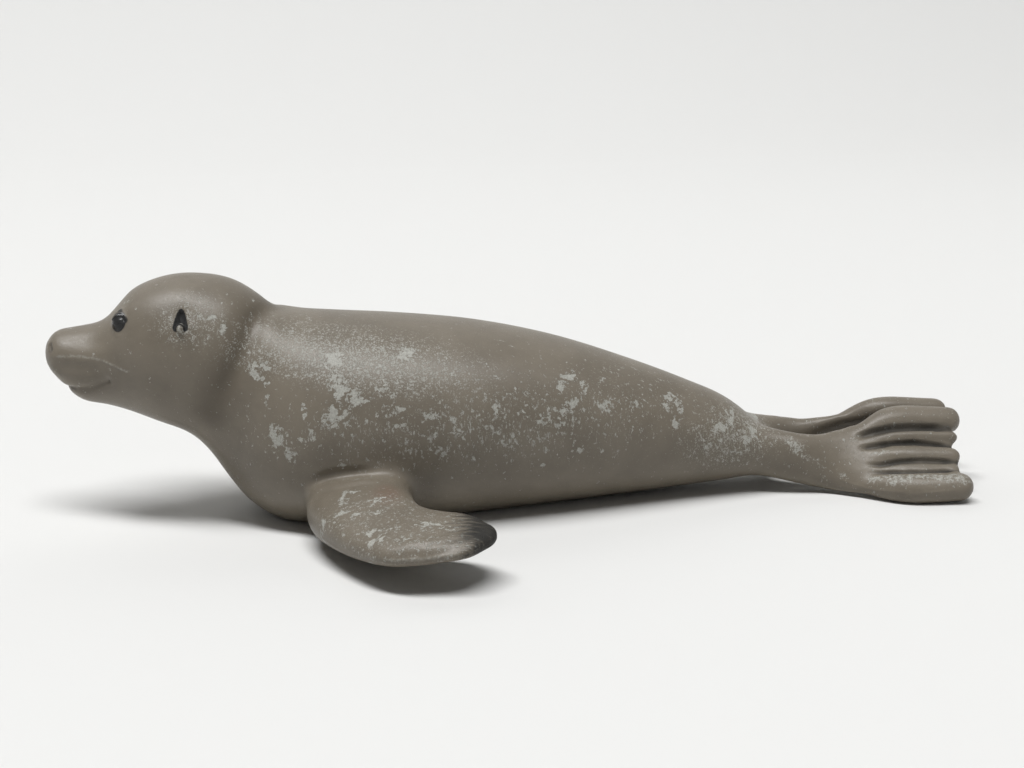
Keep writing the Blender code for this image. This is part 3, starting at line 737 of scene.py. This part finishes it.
def wornShare(tree, grains):  # how bare the vinyl is, from 0 to 1
    small, fine = grains["small"], grains["fine"]
    scratched, frostAndHighlight = number(tree, "scratched"), number(tree, "frostAndHighlight")
    # pale specks, partly wear and partly a painted highlight, most in the lit band
    speckles = added(tree, around(tree, fine, raggedness["frostFine"]),
                     around(tree, small, raggedness["frostSmall"]))
    rubbing = added(tree, small, around(tree, fine, raggedness["rub"]))
    return most(tree,
                wear(tree, "chips", grains["flakes"], number(tree, "worn")),
                wear(tree, "flecks", small, number(tree, "flecked")),
                times(tree, wear(tree, "scratches", grains["lines"], scratched),
                      ramp(tree, scratched, *paintSteps["scratched"])),
                times(tree, wear(tree, "frost", speckles, frostAndHighlight),
                      ramp(tree, frostAndHighlight, *paintSteps["frostAndHighlight"])),
                wear(tree, "rub", rubbing, number(tree, "rubbed")),
                wear(tree, "edges", around(tree, small, raggedness["edges"]), number(tree, "ridge")),
                times(tree, number(tree, "seamPaint"), ramp(tree, small, *paintSteps["seam"])))


def bodyColour(tree, grains, worn):
    mottle = ramp(tree, grains["mottle"], *paintSteps["mottle"])
    paint = mixed(tree, mottle, paintLook["paintDark"], paintLook["paintLight"])
    paint = mixed(tree, paintLook["evenness"], paint, paintLook["paint"])
    # painted shade on the head side of the neck fold
    neck = times(tree, number(tree, "neckFoldShade"), paintLook["neckShadeShare"])
    paint = mixed(tree, neck, paint, paintLook["umber"])
    rust = times(tree, number(tree, "rustPaint"), ramp(tree, grains["small"], *paintSteps["rust"]))
    paint = mixed(tree, rust, paint, paintLook["rust"])
    dust = ramp(tree, grains["fine"], *paintSteps["bare"])
    bare = mixed(tree, dust, paintLook["bareDark"], paintLook["bare"])
    return mixed(tree, worn, paint, bare)


def blackMark(tree, name, fine):
    mark = added(tree, number(tree, name + "Paint"), around(tree, fine, raggedness[name]))
    return ramp(tree, mark, *paintSteps[name])


def paintedVinyl():
    material = bpy.data.materials.new("paintedVinyl")
    material.use_nodes = True
    tree = material.node_tree
    shader = tree.nodes["Principled BSDF"]
    places = stretched(tree, addNode(tree, "TexCoord", {}).outputs["Object"], (1000, 1000, 1000))
    grains = {name: noise(tree, places, *look) for name, look in noises.items()}
    fine = grains["fine"]
    worn = wornShare(tree, grains)

    # painted shade in the grooves of the hind flippers
    groove = times(tree, number(tree, "grooveShade"), paintLook["grooveShadeShare"])
    tipMark = number(tree, "tipPaintAndRimShade")
    streaked = added(tree, tipMark, around(tree, grains["streaks"], raggedness["tip"]))
    tip = times(tree, ramp(tree, streaked, *paintSteps["tip"]),
                ramp(tree, tipMark, *paintSteps["tipEdge"]))
    # painted shade in the hollows, the grooves and the mouth line, and the flipper tips' dark paint with
    # painted shade along their rim, all in the tip colour
    darkShares = (ramp(tree, number(tree, "hollow"), *paintSteps["hollow"]), groove, tip,
                  ramp(tree, number(tree, "mouthShade"), *paintSteps["mouth"]))
    colour = bodyColour(tree, grains, worn)
    for share in darkShares:
        colour = mixed(tree, share, colour, paintLook["tip"])
    ear = blackMark(tree, "ear", fine)
    lid = blackMark(tree, "lid", fine)
    eye = eyeMask(tree, places)
    colour = mixed(tree, most(tree, ear, lid, eye), colour, paintLook["black"])
    tree.links.new(colour, shader.inputs["Base Color"])

    offEye = maths(tree, "SUBTRACT", 1.0, eye)
    rough = ramp(tree, worn, 0, 1, paintLook["roughness"], paintLook["bareRoughness"])
    rough = added(tree, rough, around(tree, fine, paintLook["roughnessNoise"]))
    dull = most(tree, ear, lid, times(tree, groove, paintLook["grooveDullness"]),
                times(tree, tip, paintLook["tipDullness"]))
    rough = added(tree, rough, times(tree, dull, paintLook["dullness"]))
    rough = added(tree, times(tree, rough, offEye), times(tree, eye, paintLook["eyeRoughness"]))
    tree.links.new(rough, shader.inputs["Roughness"])
    shader.inputs["Specular IOR Level"].default_value = paintLook["shine"]

    height = added(tree, around(tree, grains["grain"], paintLook["grainDepth"]),
                   around(tree, fine, paintLook["fineDepth"]))
    height = maths(tree, "SUBTRACT", height, times(tree, worn, paintLook["bareDepth"]))
    bump = addNode(tree, "Bump", {"Height": times(tree, height, offEye), "Strength": 1.0,
                                  "Distance": 0.001})
    tree.links.new(bump.outputs["Normal"], shader.inputs["Normal"])
    return material


seal.data.materials.append(paintedVinyl())
print("paint done")

# A floor that rises into a backdrop in one sweep, and lamps well away from the seal
studio = {
    "floor": (0.75, 0.75, 0.74, 1),
    "floorLength": 4.0,      # m
    "floorWidth": 6.0,
    "floorRoughness": 0.95,
    "floorShine": 0.1,
    "backdrop": 0.85,        # m behind the seal
    "backdropHeight": 1.6,
    "sweep": 0.35,
    "sweepSteps": 24,
    "edgeSlack": 0.01,       # m, for finding the edge that is swept
    "keyPlace": (-0.25, -0.4, 2.2),
    "keySize": (2.1, 0.45),
    "keyPower": 57.0,
    "fillPlace": (0.9, -3.0, 1.7),
    "fillSize": (1.6, 1.6),
    "fillPower": 2.5,
    "sky": (1.0, 1.0, 0.99, 1),
    "world": 0.06,           # how strongly the world lights the stage
    "seen": 0.72,            # and how bright it is to the camera and in reflections
}


def makeFloor():
    bpy.ops.object.select_all(action="DESELECT")
    bpy.ops.mesh.primitive_plane_add(size=1, location=(0, 0, 0))
    floor = bpy.context.object
    floor.name = "floor"
    bpy.ops.object.mode_set(mode="EDIT")
    bpy.ops.transform.resize(value=(studio["floorWidth"], studio["floorLength"], 1))
    bpy.ops.transform.translate(value=(0, studio["backdrop"] - studio["floorLength"] / 2, 0))
    bpy.ops.mesh.select_all(action="DESELECT")
    bpy.ops.object.mode_set(mode="OBJECT")
    backLine = studio["backdrop"] - studio["edgeSlack"]
    for edge in floor.data.edges:
        edge.select = all(floor.data.vertices[end].co.y > backLine for end in edge.vertices)
    bpy.ops.object.mode_set(mode="EDIT")
    bpy.ops.mesh.select_mode(type="EDGE")
    bpy.ops.mesh.extrude_edges_move(TRANSFORM_OT_translate={"value": (0, 0, studio["backdropHeight"])})
    bpy.ops.object.mode_set(mode="OBJECT")
    for edge in floor.data.edges:
        ends = [floor.data.vertices[end].co for end in edge.vertices]
        edge.select = all(end.y > backLine and end.z < studio["edgeSlack"] for end in ends)
    bpy.ops.object.mode_set(mode="EDIT")
    bpy.ops.mesh.bevel(offset=studio["sweep"], segments=studio["sweepSteps"])
    bpy.ops.mesh.select_all(action="SELECT")
    bpy.ops.mesh.normals_make_consistent(inside=False)
    bpy.ops.object.mode_set(mode="OBJECT")
    floor.data.shade_smooth()
    material = bpy.data.materials.new("paleFloor")
    material.use_nodes = True
    shader = material.node_tree.nodes["Principled BSDF"]
    shader.inputs["Base Color"].default_value = studio["floor"]
    shader.inputs["Roughness"].default_value = studio["floorRoughness"]
    shader.inputs["Specular IOR Level"].default_value = studio["floorShine"]
    floor.data.materials.append(material)


def addLamp(name, place, size, power):
    bpy.ops.object.light_add(type="AREA", location=place)
    lamp = bpy.context.object
    lamp.name = name
    lamp.data.shape = "RECTANGLE"
    lamp.data.size, lamp.data.size_y = size
    lamp.data.energy = power
    lamp.rotation_euler = (-lamp.location).to_track_quat("-Z", "Y").to_euler()


def lightStage():
    addLamp("keyLamp", studio["keyPlace"], studio["keySize"], studio["keyPower"])
    addLamp("fillLamp", studio["fillPlace"], studio["fillSize"], studio["fillPower"])
    world = bpy.data.worlds.new("studio")
    bpy.context.scene.world = world
    world.use_nodes = True
    tree = world.node_tree
    background = tree.nodes["Background"]
    background.inputs["Color"].default_value = studio["sky"]
    rays = addNode(tree, "LightPath", {}).outputs
    seen = most(tree, rays["Is Camera Ray"], rays["Is Glossy Ray"], rays["Is Transmission Ray"])
    strength = ramp(tree, seen, 0, 1, studio["world"], studio["seen"])
    tree.links.new(strength, background.inputs["Strength"])


# The camera stands close, on the seal's left side, and looks a little down and towards the tail
lens = {
    "place": (-24.38, -225.0, 74.7),  # mm
    "length": 52.73,
    "nearest": 0.01,                  # m
    "turn": -6.0,                     # degrees about the vertical
    "down": 14.04,
    "roll": 1.2,
}


def makeCamera():
    bpy.ops.object.camera_add(location=[value / 1000 for value in lens["place"]])
    camera = bpy.context.object
    camera.data.lens = lens["length"]
    camera.data.clip_start = lens["nearest"]
    aim = Matrix.Rotation(radians(lens["turn"]), 3, "Z")
    aim @= Matrix.Rotation(radians(90 - lens["down"]), 3, "X")
    aim @= Matrix.Rotation(radians(-lens["roll"]), 3, "Z")
    camera.rotation_euler = aim.to_euler()
    bpy.context.scene.camera = camera


makeFloor()
lightStage()
makeCamera()
bpy.context.scene.view_settings.view_transform = "Standard"
print("stage set")
